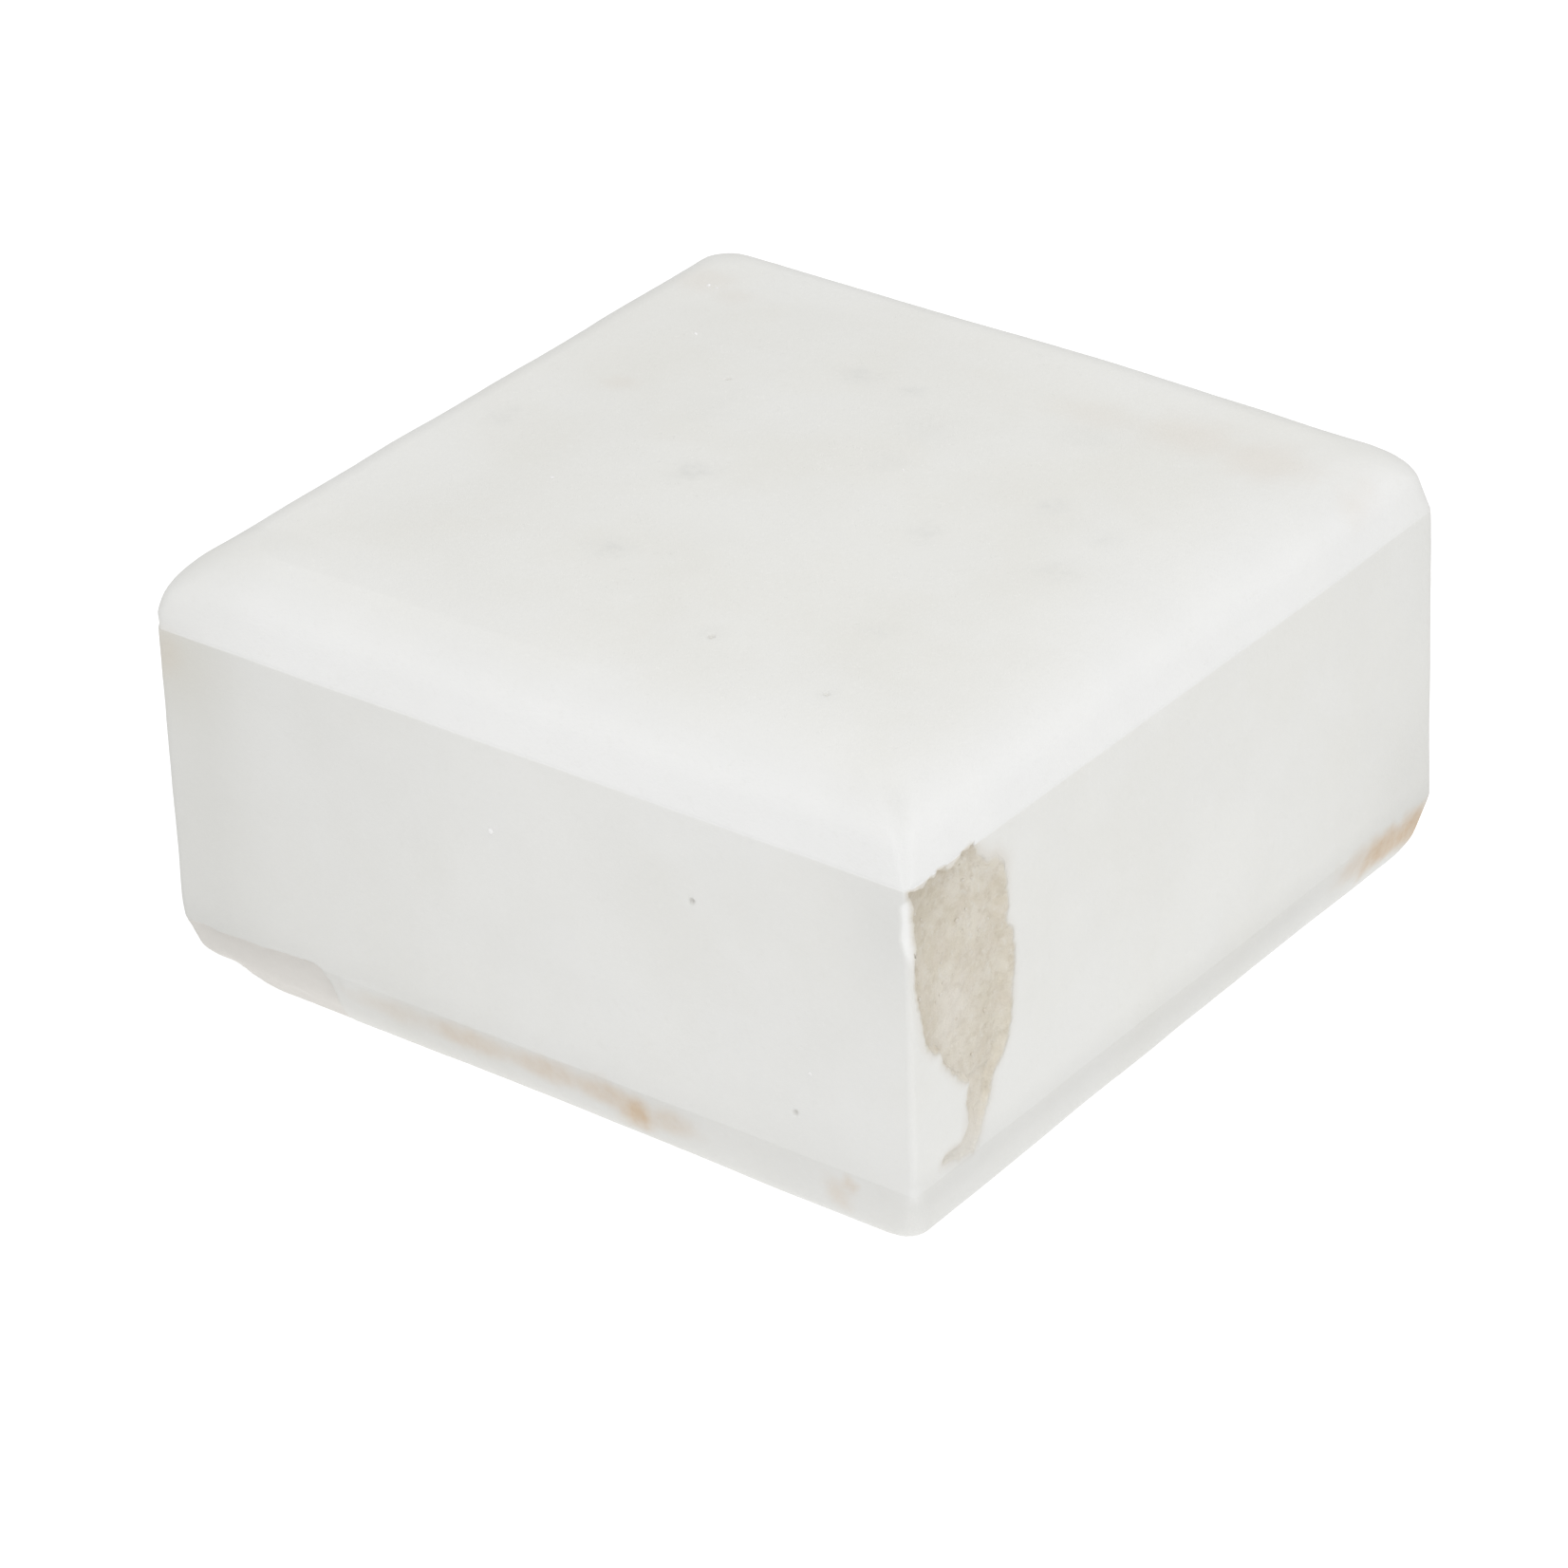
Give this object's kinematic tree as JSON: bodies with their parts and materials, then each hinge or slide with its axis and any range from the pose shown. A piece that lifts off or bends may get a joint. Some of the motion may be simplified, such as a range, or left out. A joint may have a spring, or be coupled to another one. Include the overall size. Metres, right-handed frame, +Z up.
{
  "type": "gymnastics chalk block",
  "caption": "Square pressed tablet of gym chalk with bevelled upper and lower rims, soft shoulders, a broken upright corner and a chipped lower edge.",
  "frame": {"origin": "centre of the bounding box's bottom, on the plane of the lower flat face", "axes": "+Z up through the upper flat face, the pressing direction and the shortest extent; -Y is the front side wall, with the chipped lower edge at its -X end; the broken upright corner is at +X, -Y, and its scar is on the +X side wall"},
  "size_m": [0.0508, 0.0508, 0.0276],
  "materials": {
    "pressed_chalk": "powdery matt",
    "broken_chalk": "granular matt"
  },
  "bodies": {
    "root": {"pressed_block": "pressed_chalk", "clinging_crumbs": "broken_chalk"}
  },
  "joints": []
}
